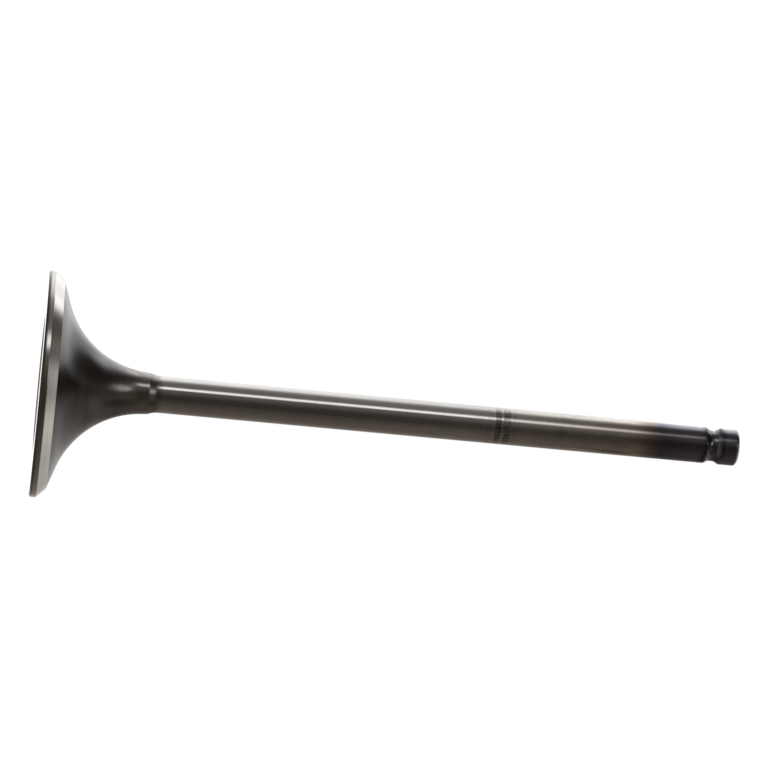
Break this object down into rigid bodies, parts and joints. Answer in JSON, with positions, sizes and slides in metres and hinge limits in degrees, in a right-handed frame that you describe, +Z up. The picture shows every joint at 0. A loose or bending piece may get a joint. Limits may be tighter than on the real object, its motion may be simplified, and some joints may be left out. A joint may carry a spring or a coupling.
{
  "type": "engine valve",
  "caption": "One-piece engine poppet valve: tulip head with a ground seat and a shallow recess in its face, slim ground stem and a keeper groove near the tip.",
  "frame": {"origin": "on the axis, in the plane of the combustion face's flat ring, which the valve stands on", "axes": "+Z up the stem from the combustion face to the tip; the valve is round about Z, so X and Y are free"},
  "size_m": [0.0488, 0.0488, 0.1529],
  "materials": {
    "valve_steel": "ground and turned steel, with a brown and blue-black heat tint at the tip end"
  },
  "bodies": {
    "root": {"engine_valve": "valve_steel"}
  },
  "joints": []
}
